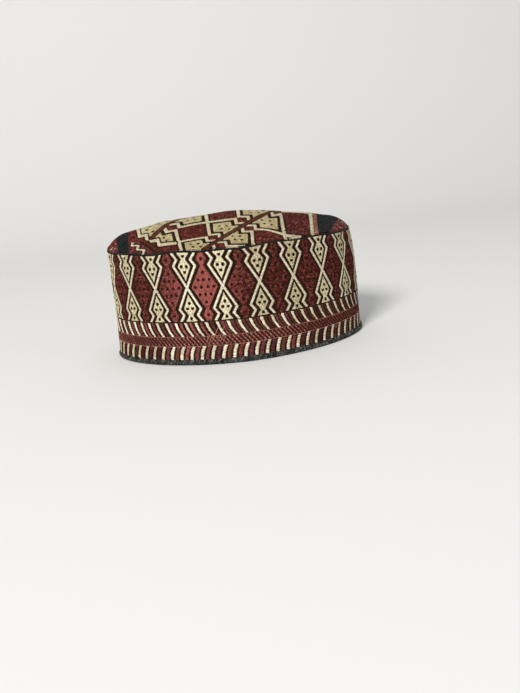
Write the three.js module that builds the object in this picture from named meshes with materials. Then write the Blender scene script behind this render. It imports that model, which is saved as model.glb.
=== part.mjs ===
// A soft embroidered cap: a domed oval crown sewn to an upright side band, with a bound lower edge.
// Millimetres, +Z up. The cap rests on its lower edge at Z = 0 and its front points to +X.
import * as THREE from "three";

// The oval that the cap follows
const LENGTH = 210;             // front to back over the side band, at its lower edge
const WIDTH = 160.6;            // side to side, at the same place
const OVAL_POWER = 1.81;        // 2 is an ellipse, and less draws the front and back to a soft point
const TOP_SHARE = 0.987;        // the oval at the seam, as a share of the oval at the lower edge

// Heights
const BAND_HEIGHT = 88.8;       // lower edge to the middle of the seam under the crown
const CROWN_RISE = 21.7;        // middle of the seam to the highest point of the crown
const BAND_BOW = 0.9;           // how far the front of the side band bulges and the back falls in

// Cloth
const BAND_CLOTH = 2.2;         // stitched cloth of the side band
const CROWN_CLOTH = 2;          // stitched cloth of the crown
const CROWN_EDGE = 1.2;         // turned edge of the crown above the seam cord
const GAP = 0.3;                // space left between two pieces that are sewn together

// Seam cord between crown and side band
const SEAM_HEIGHT = 1.6;
const SEAM_PROUD = 0.3;         // how far it stands out past the side band, outside and inside

// Binding folded over the lower edge of the side band
const BINDING_HEIGHT = 4.3;
const BINDING_LEG = 1;          // cloth outside and inside the side band
const BINDING_SOLE = 1.2;       // cloth under the side band
const BINDING_ROUND = 0.7;      // soft edges of the roll
const BAND_PINCH = 0.4;         // how far the binding presses in each face of the side band
const PINCH_FADE = 0.6;         // height over which the side band swells out again above the binding

// Distance from the middle, either way, at which the ridge has its whole front or back profile
const RIDGE_BLEND = 73.5;

// Facets
const STATIONS = 96;            // around the oval
const SEAM_SIDES = 8;           // around the seam cord

// Side band, from the lower edge up. Columns: share of BAND_HEIGHT, share of BAND_BOW.
const BAND_SHAPE = [
  { up: 0, bow: 0 },
  { up: 0.2, bow: 0.25 },
  { up: 0.4, bow: 0.75 },
  { up: 0.6, bow: 1 },
  { up: 0.8, bow: 0.7 },
  { up: 1, bow: 0 },
];

// Crown along its ridge, which runs from back to front. Columns: share of the way from the middle to
// the rim, and the height there as a share of CROWN_RISE towards the front and towards the back.
const CROWN_RIDGE = [
  { out: 0, front: 1, back: 1 },
  { out: 0.3, front: 0.86, back: 1 },
  { out: 0.5, front: 0.705, back: 0.95 },
  { out: 0.65, front: 0.63, back: 0.8 },
  { out: 0.78, front: 0.505, back: 0.7 },
  { out: 0.88, front: 0.4, back: 0.58 },
  { out: 0.95, front: 0.2, back: 0.36 },
];

// Crown across its ridge. Columns: share of the way from the ridge to the rim, and what is left there
// of the ridge's height above the rim.
const CROWN_SLOPE = [
  { across: 0, left: 1 },
  { across: 0.25, left: 0.92 },
  { across: 0.5, left: 0.66 },
  { across: 0.75, left: 0.36 },
  { across: 0.9, left: 0.16 },
  { across: 1, left: 0 },
];

// Rings of facets on the crown, as shares of the way to the rim
const CROWN_RINGS = [0.16, 0.32, 0.47, 0.61, 0.74, 0.85, 0.93, 0.975, 1];

// Stations spaced evenly along the oval: place, outward direction, and 1 at the front to -1 at the back
function ovalStations(count) {
  const FINE = 40 * count;
  const halfLength = LENGTH / 2;
  const halfWidth = WIDTH / 2;
  const power = 2 / OVAL_POWER;
  const bend = (value) => Math.sign(value) * Math.pow(Math.abs(value), power);
  const fine = [];
  for (let i = 0; i <= FINE; i++) {
    const turn = (2 * Math.PI * i) / FINE;
    fine.push(new THREE.Vector2(halfLength * bend(Math.cos(turn)), halfWidth * bend(Math.sin(turn))));
  }
  const run = [0];
  for (let i = 1; i <= FINE; i++) {
    run.push(run[i - 1] + fine[i].distanceTo(fine[i - 1]));
  }
  const places = [];
  let at = 0;
  for (let k = 0; k < count; k++) {
    const goal = (run[FINE] * k) / count;
    while (run[at + 1] < goal) {
      at++;
    }
    const share = (goal - run[at]) / (run[at + 1] - run[at]);
    places.push(fine[at].clone().lerp(fine[at + 1], share));
  }
  return places.map((place, k) => {
    const along = places[(k + 1) % count].clone().sub(places[(k + count - 1) % count]).normalize();
    return { place, out: new THREE.Vector2(along.y, -along.x), forward: place.x / halfLength };
  });
}

const stations = ovalStations(STATIONS);

// Size of the oval at a height, as a share of the oval at the lower edge
function ovalShareAt(height) {
  return 1 + ((TOP_SHARE - 1) * height) / BAND_HEIGHT;
}

// Values of a table between its rows
function readTable(rows, key, column, value) {
  let i = 1;
  while (i < rows.length - 1 && rows[i][key] < value) {
    i++;
  }
  const share = (value - rows[i - 1][key]) / (rows[i][key] - rows[i - 1][key]);
  return THREE.MathUtils.lerp(rows[i - 1][column], rows[i][column], share);
}

// How far the side band leans out at a height, for a station: out at the front and in at the back
function bowAt(height, station) {
  return BAND_BOW * station.forward * readTable(BAND_SHAPE, "up", "bow", height / BAND_HEIGHT);
}

function geometryFrom(positions, triangles) {
  const geometry = new THREE.BufferGeometry();
  geometry.setAttribute("position", new THREE.Float32BufferAttribute(positions, 3));
  geometry.setIndex(triangles);
  geometry.computeVertexNormals();
  return geometry;
}

// A closed ring round the oval. The section is a loop of points, each with its place outward from the
// side band's outer face and its height, given anticlockwise with outward to the right.
function ringGeometry(section) {
  const positions = [];
  const triangles = [];
  for (const station of stations) {
    for (const { out, up } of section) {
      const share = ovalShareAt(up);
      const reach = out + bowAt(up, station);
      positions.push(station.place.x * share + station.out.x * reach);
      positions.push(station.place.y * share + station.out.y * reach);
      positions.push(up);
    }
  }
  const n = section.length;
  for (let k = 0; k < STATIONS; k++) {
    const here = k * n;
    const next = ((k + 1) % STATIONS) * n;
    for (let i = 0; i < n; i++) {
      const j = (i + 1) % n;
      triangles.push(here + i, next + i, next + j);
      triangles.push(here + i, next + j, here + j);
    }
  }
  return geometryFrom(positions, triangles);
}

// Side band: pinched where the binding holds it, then straight up to the seam
const bandFoot = BINDING_SOLE + GAP;
const bandTop = BAND_HEIGHT - SEAM_HEIGHT / 2 - GAP;

function sideBand() {
  const pinchEnd = BINDING_HEIGHT + GAP;
  const levels = [
    { up: bandFoot, pinch: BAND_PINCH },
    { up: pinchEnd, pinch: BAND_PINCH },
    { up: pinchEnd + PINCH_FADE, pinch: 0 },
  ];
  for (const row of BAND_SHAPE) {
    const up = row.up * BAND_HEIGHT;
    if (up > pinchEnd + 2 * PINCH_FADE && up < bandTop - PINCH_FADE) {
      levels.push({ up, pinch: 0 });
    }
  }
  levels.push({ up: bandTop, pinch: 0 });
  const outside = levels.map(({ up, pinch }) => ({ out: -pinch, up }));
  const inside = levels.map(({ up, pinch }) => ({ out: pinch - BAND_CLOTH, up })).reverse();
  return ringGeometry([...outside, ...inside]);
}

// Binding: a folded strip, open at the top, with a flat sole that the cap rests on
function edgeBinding() {
  const slotOut = GAP - BAND_PINCH;
  const slotIn = BAND_PINCH - BAND_CLOTH - GAP;
  const outer = slotOut + BINDING_LEG;
  const inner = slotIn - BINDING_LEG;
  const round = Math.min(BINDING_ROUND, 0.8 * BINDING_LEG);
  return ringGeometry([
    { out: outer - round, up: 0 },
    { out: outer, up: round },
    { out: outer, up: BINDING_HEIGHT - round },
    { out: outer - round, up: BINDING_HEIGHT },
    { out: slotOut, up: BINDING_HEIGHT },
    { out: slotOut, up: BINDING_SOLE },
    { out: slotIn, up: BINDING_SOLE },
    { out: slotIn, up: BINDING_HEIGHT },
    { out: inner + round, up: BINDING_HEIGHT },
    { out: inner, up: BINDING_HEIGHT - round },
    { out: inner, up: round },
    { out: inner + round, up: 0 },
  ]);
}

// Seam cord: an oval thread roll that covers the whole thickness of the side band
function crownSeam() {
  const halfAcross = BAND_CLOTH / 2 + SEAM_PROUD;
  const section = [];
  for (let i = 0; i < SEAM_SIDES; i++) {
    const turn = (2 * Math.PI * (i + 0.5)) / SEAM_SIDES;
    const reach = 1 / Math.cos(Math.PI / SEAM_SIDES);
    section.push({
      out: -BAND_CLOTH / 2 + halfAcross * reach * Math.cos(turn),
      up: BAND_HEIGHT + (SEAM_HEIGHT / 2) * reach * Math.sin(turn),
    });
  }
  return ringGeometry(section);
}

// Crown: a low dome with a soft ridge. Its outer face follows the two tables, and its inner face lies
// one cloth below it. Its turned edge sits on the seam cord.
const seatHeight = BAND_HEIGHT + SEAM_HEIGHT / 2 + GAP;
const rimHeight = seatHeight + CROWN_EDGE;
const rimRow = { out: 1, front: rimHeight, back: rimHeight };
const ridgeRows = CROWN_RIDGE.map(({ out, front, back }) => ({
  out,
  front: BAND_HEIGHT + CROWN_RISE * front,
  back: BAND_HEIGHT + CROWN_RISE * back,
}));

// A smooth curve through two columns of a table, level at its first row
function smoothColumn(rows, key, column) {
  const curve = new THREE.CubicInterpolant(
    rows.map((row) => row[key]),
    rows.map((row) => row[column]),
    1,
    [0],
  );
  curve.settings = { endingStart: THREE.ZeroSlopeEnding, endingEnd: THREE.ZeroCurvatureEnding };
  return (value) => curve.evaluate(value)[0];
}

const ridgeFront = smoothColumn([...ridgeRows, rimRow], "out", "front");
const ridgeBack = smoothColumn([...ridgeRows, rimRow], "out", "back");
const slopeLeft = smoothColumn(CROWN_SLOPE, "across", "left");

function crownHeight(x, y) {
  const share = ovalShareAt(BAND_HEIGHT);
  const along = Math.min(Math.abs(x) / (share * LENGTH / 2), 1);
  const rimAcross = (share * WIDTH / 2) * Math.pow(1 - Math.pow(along, OVAL_POWER), 1 / OVAL_POWER);
  const across = rimAcross > GAP ? Math.min(Math.abs(y) / rimAcross, 1) : 1;
  const toFront = 0.5 + 0.5 * THREE.MathUtils.clamp(x / RIDGE_BLEND, -1, 1);
  const ridge = THREE.MathUtils.lerp(ridgeBack(along), ridgeFront(along), toFront);
  return THREE.MathUtils.lerp(rimHeight, ridge, slopeLeft(across));
}

function crownRing(ringShare) {
  const share = ovalShareAt(BAND_HEIGHT) * ringShare;
  return stations.map(({ place }) => {
    const x = place.x * share;
    const y = place.y * share;
    return new THREE.Vector3(x, y, ringShare < 1 ? crownHeight(x, y) : rimHeight);
  });
}

// A level ring on the seam cord, moved inward from the rim
function seatRing(inward) {
  const share = ovalShareAt(BAND_HEIGHT);
  return stations.map(({ place, out }) => new THREE.Vector3(
    place.x * share - out.x * inward,
    place.y * share - out.y * inward,
    seatHeight,
  ));
}

// The inner face: each point of a ring moved one cloth inward, square to the outer face
function innerRing(rings, i) {
  return rings[i].map((point, k) => {
    const before = i > 0 ? rings[i - 1][k] : new THREE.Vector3(0, 0, BAND_HEIGHT + CROWN_RISE);
    const outward = rings[i + 1][k].clone().sub(before);
    const along = rings[i][(k + 1) % STATIONS].clone().sub(rings[i][(k + STATIONS - 1) % STATIONS]);
    const normal = outward.cross(along).normalize();
    const moved = point.clone().addScaledVector(normal, -CROWN_CLOTH);
    return moved.setZ(Math.max(moved.z, seatHeight));
  });
}

function crown() {
  const seatWidth = BAND_CLOTH + SEAM_PROUD + GAP;
  const outer = CROWN_RINGS.map(crownRing);
  const inner = outer.slice(0, -2).map((ring, i) => innerRing(outer, i));
  const rings = [...outer, seatRing(0), seatRing(seatWidth), ...inner.reverse()];
  const positions = [];
  const triangles = [];
  const put = (point) => positions.push(point.x, point.y, point.z) / 3 - 1;
  const top = put(new THREE.Vector3(0, 0, BAND_HEIGHT + CROWN_RISE));
  const underTop = put(new THREE.Vector3(0, 0, BAND_HEIGHT + CROWN_RISE - CROWN_CLOTH));
  const ids = rings.map((ring) => ring.map(put));
  const last = ids[ids.length - 1];
  for (let k = 0; k < STATIONS; k++) {
    const next = (k + 1) % STATIONS;
    triangles.push(top, ids[0][k], ids[0][next]);
    triangles.push(underTop, last[next], last[k]);
    for (let i = 1; i < ids.length; i++) {
      triangles.push(ids[i - 1][k], ids[i][k], ids[i][next]);
      triangles.push(ids[i - 1][k], ids[i][next], ids[i - 1][next]);
    }
  }
  return geometryFrom(positions, triangles);
}

function piece(name, geometry, colour) {
  const material = new THREE.MeshStandardMaterial({ color: colour, roughness: 0.9, metalness: 0 });
  const mesh = new THREE.Mesh(geometry, material);
  mesh.name = name;
  return mesh;
}

const cap = new THREE.Group();
cap.add(piece("crown", crown(), 0x6a3a30));
cap.add(piece("crown_seam", crownSeam(), 0x221d19));
cap.add(piece("side_band", sideBand(), 0x9a8468));
cap.add(piece("edge_binding", edgeBinding(), 0x1c2227));

export default cap;
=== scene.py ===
"""Looks of a soft embroidered cap: laid stitches over cloth shells, a twisted seam cord and a rolled binding.

Shapes are worked out in millimetres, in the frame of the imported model, and written in metres.
+X is the front of the cap and the camera stands on the -Y side.
"""
import math

import bpy
import numpy as np
from mathutils import Matrix, Vector


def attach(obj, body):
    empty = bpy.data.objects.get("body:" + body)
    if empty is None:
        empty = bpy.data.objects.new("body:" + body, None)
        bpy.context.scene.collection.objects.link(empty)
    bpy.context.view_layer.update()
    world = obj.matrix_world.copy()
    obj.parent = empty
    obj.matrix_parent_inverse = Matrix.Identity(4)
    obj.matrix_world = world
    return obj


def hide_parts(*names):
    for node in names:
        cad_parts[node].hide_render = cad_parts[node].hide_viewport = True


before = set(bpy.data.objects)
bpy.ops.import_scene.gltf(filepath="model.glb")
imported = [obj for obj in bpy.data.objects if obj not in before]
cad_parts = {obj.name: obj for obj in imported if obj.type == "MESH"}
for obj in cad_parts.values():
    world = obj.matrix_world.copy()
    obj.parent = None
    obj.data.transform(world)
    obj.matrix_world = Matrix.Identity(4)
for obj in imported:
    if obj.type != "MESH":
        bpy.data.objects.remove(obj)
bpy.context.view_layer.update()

MM = 0.001
rng = np.random.RandomState(20)

# Size of the cap, the same values as the solids
LENGTH = 210.0
WIDTH = 160.6
OVAL_POWER = 1.81
TOP_SHARE = 0.987
BAND_HEIGHT = 88.8
CROWN_RISE = 21.7
BAND_BOW = 0.9
BAND_CLOTH = 2.2
CROWN_CLOTH = 2.0
CROWN_EDGE = 1.2
GAP = 0.3
SEAM_HEIGHT = 1.6
SEAM_PROUD = 0.3
BINDING_HEIGHT = 4.3
BINDING_LEG = 1.0
BINDING_SOLE = 1.2
BAND_PINCH = 0.4
RIDGE_BLEND = 73.5

BAND_SHAPE_UP = (0, 0.2, 0.4, 0.6, 0.8, 1)
BAND_SHAPE_BOW = (0, 0.25, 0.75, 1, 0.7, 0)
RIDGE_OUT = (0, 0.3, 0.5, 0.65, 0.78, 0.88, 0.95, 1)
RIDGE_FRONT = (1, 0.86, 0.705, 0.63, 0.52, 0.44, 0.3)
RIDGE_BACK = (1, 1, 0.95, 0.8, 0.7, 0.58, 0.36)
SLOPE_ACROSS = (0, 0.25, 0.5, 0.75, 0.9, 1)
SLOPE_LEFT = (1, 0.92, 0.66, 0.36, 0.16, 0)

# Camera, fitted to the perspective of the cap
CAMERA_TURNS = (-4.64, 13.468, -6.145)  # azimuth, elevation and roll, in degrees
CAMERA_BASE = 47.25
CAMERA_DISTANCE = 735.5
CAMERA_RIGHT = 20.8
CAMERA_UP = -51.99
CAMERA_LENS = 44.53

# Rows of the side band, heights of their limits
STRIPES_TOP = 34.75
TWILL_TOP = 22.7
TWILL_FOOT = 15.1
MAIN_MIDDLE = 61.6
MAIN_LEAN = 0.03

# How far the soft front end leans in and dips: the most, from which x, and over what length
FRONT_LEAN = 2.0
FRONT_LEAN_OVER = (50.0, 55.0)
FRONT_DIP = 3.2
FRONT_DIP_OVER = (66.0, 36.0)

# Soft waves of the rim: height, how many go round the cap, and where they start
RIM_WAVES = ((0.55, 7, 0.5), (0.4, 13, 2))

# Waviness of the cloth. It has its whole size this far from the binding and from the seam.
CLOTH_WAVE = 0.3
HELD_BY_BINDING = 12.0
HELD_BY_SEAM = 8.0
HELD_BY_RIM = 6  # on the crown it fades out over the last sixth of the way to the rim

# Repeats
REPEATS = 20
REPEAT_PHASE = -14.66  # one crossing, measured along the lower edge from the near side
STRIPES = 66

# Kinds of stitch
NONE, DARK, CREAM, RED, ROSE, BROWN, PLUM, NAVY, STRAW, EDGE = -1, 0, 1, 2, 3, 4, 5, 6, 7, 8


# Oval outline, by its length along the lower edge from the middle of the near side towards the front

def bend(value, power):
    return np.sign(value) * np.abs(value) ** power


def lengths_along(x, y):
    return np.concatenate([[0], np.cumsum(np.hypot(np.diff(x), np.diff(y)))])


TURNS = np.linspace(-np.pi, np.pi, 7681)
OUTLINE_X = LENGTH / 2 * bend(np.sin(TURNS), 2 / OVAL_POWER)
OUTLINE_Y = -WIDTH / 2 * bend(np.cos(TURNS), 2 / OVAL_POWER)
OUTLINE_RUN = lengths_along(OUTLINE_X, OUTLINE_Y)
GIRTH = OUTLINE_RUN[-1]
REPEAT = GIRTH / REPEATS
OUTLINE_RUN = OUTLINE_RUN - GIRTH / 2
NORMAL_STEP = 3.0


def outline(run):
    """Places on the lower edge of the side band."""
    run = (np.asarray(run, float) + GIRTH / 2) % GIRTH - GIRTH / 2
    return np.interp(run, OUTLINE_RUN, OUTLINE_X), np.interp(run, OUTLINE_RUN, OUTLINE_Y)


def outward(run):
    """Level directions square to the outline."""
    x0, y0 = outline(np.asarray(run) - NORMAL_STEP)
    x1, y1 = outline(np.asarray(run) + NORMAL_STEP)
    length = np.hypot(x1 - x0, y1 - y0)
    return (y1 - y0) / length, -(x1 - x0) / length


def strayed_runs(count):
    """Places round the cap, nearly even."""
    return (np.arange(count) + 0.2 * rng.randn(count)) * GIRTH / count


def level_normal(run, rise=0.0):
    """Directions square to the outline, with an upward part."""
    nx, ny = outward(run)
    return np.stack([nx, ny, np.full_like(nx, rise)], -1)


def unevenness(a, b, size):
    """Soft hand-made waviness of a surface."""
    wave = np.sin(a / 23 + 1.3) * np.sin(b / 17 + 0.4)
    wave = wave + 0.6 * np.sin(a / 11 - b / 19 + 2.1)
    wave = wave + 0.35 * np.sin(a / 6.1 + 0.9) * np.sin(b / 7.3)
    return size * wave


def ease(share):
    share = np.clip(share, 0, 1)
    return share * share * (3 - 2 * share)


def ease_over(value, window):
    """From 0 to 1 over a window, given by its start and its length."""
    start, length = window
    return ease((value - start) / length)


def front_lean(x):
    return FRONT_LEAN * ease_over(x, FRONT_LEAN_OVER)


def rim_drop(x, y):
    """How far the edge of the soft top lies below a level one."""
    turn = np.arctan2(y, x)
    drop = FRONT_DIP * ease_over(x, FRONT_DIP_OVER)
    for height, count, start in RIM_WAVES:
        drop = drop + height * np.sin(count * turn + start)
    return drop


def band_point(run, up, lift):
    """Points of the side band. lift is measured outward from the outer face of the solid."""
    run, up, lift = np.broadcast_arrays(*[np.asarray(v, float) for v in (run, up, lift)])
    x, y = outline(run)
    nx, ny = outward(run)
    share = 1 + (TOP_SHARE - 1) * up / BAND_HEIGHT
    bow = BAND_BOW * x / (LENGTH / 2) * np.interp(up / BAND_HEIGHT, BAND_SHAPE_UP, BAND_SHAPE_BOW)
    free = np.clip((up - BINDING_HEIGHT) / HELD_BY_BINDING, 0, 1)
    free = free * np.clip((BAND_HEIGHT - up) / HELD_BY_SEAM, 0, 1)
    reach = lift + bow + free * unevenness(x, up + 0.4 * y, CLOTH_WAVE)
    high = up / BAND_HEIGHT
    lean = front_lean(x) * high ** 2
    height = up - rim_drop(x, y) * high ** 4
    return np.stack([x * share + nx * reach - lean, y * share + ny * reach, height], -1)


# Crown surface

def smooth(value, keys, values):
    """A smooth curve through a short table, level at its first row."""
    keys = np.asarray(keys, float)
    values = np.asarray(values, float)
    slopes = np.diff(values) / np.diff(keys)
    tangents = np.concatenate([[0], (slopes[1:] + slopes[:-1]) / 2, [slopes[-1]]])
    i = np.clip(np.searchsorted(keys, value) - 1, 0, len(slopes) - 1)
    step = keys[i + 1] - keys[i]
    t = np.clip((value - keys[i]) / step, 0, 1)
    first = (1 + 2 * t) * (1 - t) ** 2 * values[i] + t * (1 - t) ** 2 * step * tangents[i]
    last = t * t * (3 - 2 * t) * values[i + 1] + t * t * (t - 1) * step * tangents[i + 1]
    return first + last


SEAT_HEIGHT = BAND_HEIGHT + SEAM_HEIGHT / 2 + GAP
RIM_HEIGHT = SEAT_HEIGHT + CROWN_EDGE
RIM_SHARE = (RIM_HEIGHT - BAND_HEIGHT) / CROWN_RISE


def crown_height(x, y):
    along = np.minimum(np.abs(x) / (TOP_SHARE * LENGTH / 2), 1)
    rim = TOP_SHARE * WIDTH / 2 * (1 - along ** OVAL_POWER) ** (1 / OVAL_POWER)
    across = np.minimum(np.abs(y) / np.maximum(rim, GAP), 1)
    front = smooth(along, RIDGE_OUT, RIDGE_FRONT + (RIM_SHARE,))
    back = smooth(along, RIDGE_OUT, RIDGE_BACK + (RIM_SHARE,))
    toward = 0.5 + 0.5 * np.clip(x / RIDGE_BLEND, -1, 1)
    ridge = BAND_HEIGHT + CROWN_RISE * (back + (front - back) * toward)
    return RIM_HEIGHT + (ridge - RIM_HEIGHT) * smooth(across, SLOPE_ACROSS, SLOPE_LEFT)


def crown_reach(x, y):
    """0 in the middle of the crown and 1 at its rim."""
    across = np.abs(y / (TOP_SHARE * WIDTH / 2)) ** OVAL_POWER
    return (np.abs(x / (TOP_SHARE * LENGTH / 2)) ** OVAL_POWER + across) ** (1 / OVAL_POWER)


def crown_point(x, y, lift):
    x, y, lift = np.broadcast_arrays(*[np.asarray(v, float) for v in (x, y, lift)])
    step = 0.8
    dx = (crown_height(x + step, y) - crown_height(x - step, y)) / (2 * step)
    dy = (crown_height(x, y + step) - crown_height(x, y - step)) / (2 * step)
    normal = np.stack([-dx, -dy, np.ones_like(dx)], -1)
    normal = normal / np.linalg.norm(normal, axis=-1, keepdims=True)
    calm = np.clip((1 - crown_reach(x, y)) * HELD_BY_RIM, 0, 1)
    lift = lift + calm * unevenness(x * 1.2, y * 1.2, CLOTH_WAVE)
    height = crown_height(x, y) - rim_drop(x, y) * np.minimum(crown_reach(x, y), 1) ** 8
    return np.stack([x - front_lean(x), y, height], -1) + normal * lift[..., None], normal


# Figures of the band and the crown: distances q from the middle of the strip and u from a crossing.
# cross is a zigzag line, figure the light figure inside it, and diamond, counted from half a repeat
# away, the red one between. Dots are left bare.
BAND_MOTIF = {
    "cross": ((0, 16.9, 21.6, 27.3), (0, 9.0, 5.8, 9.7)),
    "cross_half": 1.02,
    "figure": ((5.6, 16.5, 21.8, 27.3), (0, 5.2, 1.6, 5.4)),
    "figure_dots": ((0, 24.2), (2.1, 16.3), (0, 12.2)),
    "diamond": ((0, 16.8, 21.8, 27.3), (10.6, 1.1, 4.0, 1.3)),
    "diamond_dots": ((2.5, 0), (7.5, 0), (0, 5.8), (4.4, 5.8), (0, 11.6), (0, 21.8)),
}
CROWN_MOTIF = {
    "cross": ((0, 15.5, 20.8, 28.1), (0, 15.3, 10.6, 16.8)),
    "cross_half": 1.15,
    "figure": ((5.8, 15.2, 20.8, 28.1), (0, 9.9, 5.3, 11.4)),
    "figure_dots": ((0, 22.6), (3.2, 17.2), (0, 12.4)),
    "diamond": ((0, 13.2, 16, 20.8, 25.5), (13.5, 0.9, 0.9, 4.2, 0)),
    "diamond_dots": (),
}
DOT = 1.2


def dots_at(u, q, places):
    hit = np.zeros(np.shape(u), bool)
    for dot_u, dot_q in places:
        hit |= np.hypot(np.abs(u) - dot_u, q - dot_q) < DOT
    return hit


def figures(u, q, half_repeat, motif):
    """Kinds of stitch for a place u from a crossing, at most half_repeat away, and q from the middle."""
    levels, places = motif["cross"]
    edge = np.interp(q, levels, places)
    steep = np.diff(places) / np.diff(levels)
    leg = np.clip(np.searchsorted(levels, q) - 1, 0, len(steep) - 1)
    cosine = 1 / np.sqrt(1 + steep[leg] ** 2)
    kind = np.full(np.shape(u), DARK)
    inside = np.abs(u) < np.interp(q, *motif["figure"], left=-1)
    kind[inside] = STRAW
    kind[inside & dots_at(u, q, motif["figure_dots"])] = NONE
    across = half_repeat - np.abs(u)
    diamond = across < np.interp(q, *motif["diamond"])
    kind[diamond] = RED
    kind[diamond & dots_at(across, q, motif["diamond_dots"])] = NONE
    kind[np.abs(np.abs(u) - edge) * cosine < motif["cross_half"]] = CREAM
    return kind


def hand_sway(run, up):
    """How far the hand-sewn figures stray along the main band."""
    return 0.3 * np.sin(4 * np.pi * run / GIRTH + up / 21)


def band_region(run, up):
    """Kinds of stitch on the main band."""
    run = run + MAIN_LEAN * (up - MAIN_MIDDLE) + hand_sway(run, up)
    u = (run - REPEAT_PHASE + REPEAT / 2) % REPEAT - REPEAT / 2
    return figures(u, np.abs(up - MAIN_MIDDLE), REPEAT / 2, BAND_MOTIF)


# Crown: the same figures in slanting strips, mirrored about brown lines
STRIP_ANGLE = math.radians(40.6)
STRIP_WIDTH = 56.1
STRIP_LINE = -36.2  # where one brown line crosses, square to the strips
STRIP_REPEAT = 34.8
STRIP_PHASES = (-73.2, -65.3)  # of strips with odd and even number
BROWN_HALF = 1.7
BROWN_EDGE = 2.7

# Dark end blocks of the crown: where they begin, on the middle line, their depth there, and how both
# change towards the sides. Lines run before the front one: how far ahead each begins, and its kind.
FRONT_PANEL = 75.5
FRONT_PANEL_SLANT = 0.16
FRONT_DEPTH = 21.8
FRONT_DEPTH_SLANT = 0.235
FRONT_LINES = ((7.0, DARK), (6.2, CREAM), (3.4, DARK), (2.6, ROSE))
BACK_PANEL = -84.0
BACK_DEPTH = 10.5
BACK_DEPTH_SLANT = 0.05
END_RED = 20.0  # half the width of the red past the blocks, with plum beside it

# Flecks past the end blocks: spacing across the cap, zigzag in each row, and the bare middle
FLECK_PITCH = 8.3
FLECK_AT = 4.2
FLECK_HALF = 0.8
FLECK_TURN = 5.2
FLECK_SLANT = 1.8
FLECK_FROM = 15.0

# Stepped light line round the last figures behind, from the middle line to the near rim
BACK_STEPS_X = (-76.0, -74.5, -69.0, -68.5, -65.5, -60.0, -59.0, -46.5)
BACK_STEPS_Y = (0.0, 24.5, 26.0, 36.5, 40.5, 41.5, 51.0, 57.5)
BACK_STEPS_OPEN = 3  # the one step that a brown line crosses
BACK_STEPS_PULL = 1.9  # how much wider the line was pulled across the cap
BACK_STEPS_HALF = 1.15
BACK_STEPS_EDGE = 2.5
BACK_CROSSING = (36.0, 7.0)  # middle and half width of the place that the brown line keeps
BACK_FIGURE_STRIP = 1  # the strip with the last figure behind, where it ends and its eyelets
BACK_FIGURE_END = -45.0
BACK_FIGURE_DOTS = ((-68.5, -15.0), (-63.0, -23.5), (-65.5, -6.5))

# Where two brown lines meet behind, square to the second one, and the lines along it, from the front
JOIN_PLACE = (-71.5, -34.5)
JOIN_NORMAL = (0.908, 0.419)
JOIN_SLANT = 0.6
JOIN_LINES = ((2.2, DARK), (1.3, BROWN), (-1.3, DARK), (-3.0, PLUM))
ZIGZAG_PAST = 7.6
ZIGZAG_SWING = 1.3
ZIGZAG_LENGTH = 1.5
ZIGZAG_HALF = 0.95
ZIGZAG_EDGE = 2.2

# The strips were sewn to the band under tension: how far they are pulled, along and across the cap
PULL_REACH = 100.0
PULL_ALONG = 13.0
PULL_FRONT = 23.5
PULL_SIDE = 15.5
PULL_NEAR = 63.0
PULL_NEAR_RIM = 43.0
PULL_NEAR_FRONT = 33.0
PULL_NEAR_ALONG = 24.0
PULL_OPEN = 0.8  # share by which the front cell opens about one line, and how far out
PULL_OPEN_AT = -46.0
PULL_OPEN_REACH = 30.0
PULL_OPEN_NEAR = (22.0, 20.0)  # on the near and far side of that line, from where, and over what length
PULL_OPEN_FAR = (31.0, 22.0)
PULL_OPEN_FADE = (-22.0, 60.0)  # where it fades out towards the far side, and over what width
NEAR_END = -85.0  # the strips end past the rim on the near side


def crown_place(e, m):
    """Level places on the crown for places on the strips as they were stitched."""
    x = e * math.cos(STRIP_ANGLE) - m * math.sin(STRIP_ANGLE)
    y = e * math.sin(STRIP_ANGLE) + m * math.cos(STRIP_ANGLE)
    along = x / PULL_REACH
    near = np.minimum(y / (WIDTH / 2), 0)
    pulled_x = x + PULL_ALONG * along + PULL_NEAR_ALONG * along * near
    pulled_y = y + PULL_SIDE + PULL_FRONT * along
    pulled_y = pulled_y + near * (PULL_NEAR + PULL_NEAR_RIM * near + PULL_NEAR_FRONT * along)
    past = pulled_y - PULL_OPEN_AT
    share = np.where(past < 0, ease_over(pulled_x, PULL_OPEN_NEAR), ease_over(pulled_x, PULL_OPEN_FAR))
    opened = np.clip(past, -PULL_OPEN_REACH, PULL_OPEN_REACH) * (1 - ease_over(pulled_y, PULL_OPEN_FADE))
    return pulled_x, pulled_y + PULL_OPEN * share * opened


def past_near_end(e, m):
    return e * math.sin(STRIP_ANGLE) + m * math.cos(STRIP_ANGLE) < NEAR_END


def back_steps(x, y):
    """How far places are from the stepped light line behind, and which of them lie behind it."""
    side = np.abs(y)
    nearest = np.full(np.shape(x), PULL_REACH)
    corners = list(zip(BACK_STEPS_X, BACK_STEPS_Y))
    for number, ((x0, y0), (x1, y1)) in enumerate(zip(corners[:-1], corners[1:])):
        if number == BACK_STEPS_OPEN:
            continue
        dx = x1 - x0
        dy = (y1 - y0) / BACK_STEPS_PULL
        px = x - x0
        py = (side - y0) / BACK_STEPS_PULL
        share = np.clip((px * dx + py * dy) / (dx * dx + dy * dy), 0, 1)
        nearest = np.minimum(nearest, np.hypot(px - share * dx, py - share * dy))
    return nearest, x < np.interp(side, BACK_STEPS_Y, BACK_STEPS_X)


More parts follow.
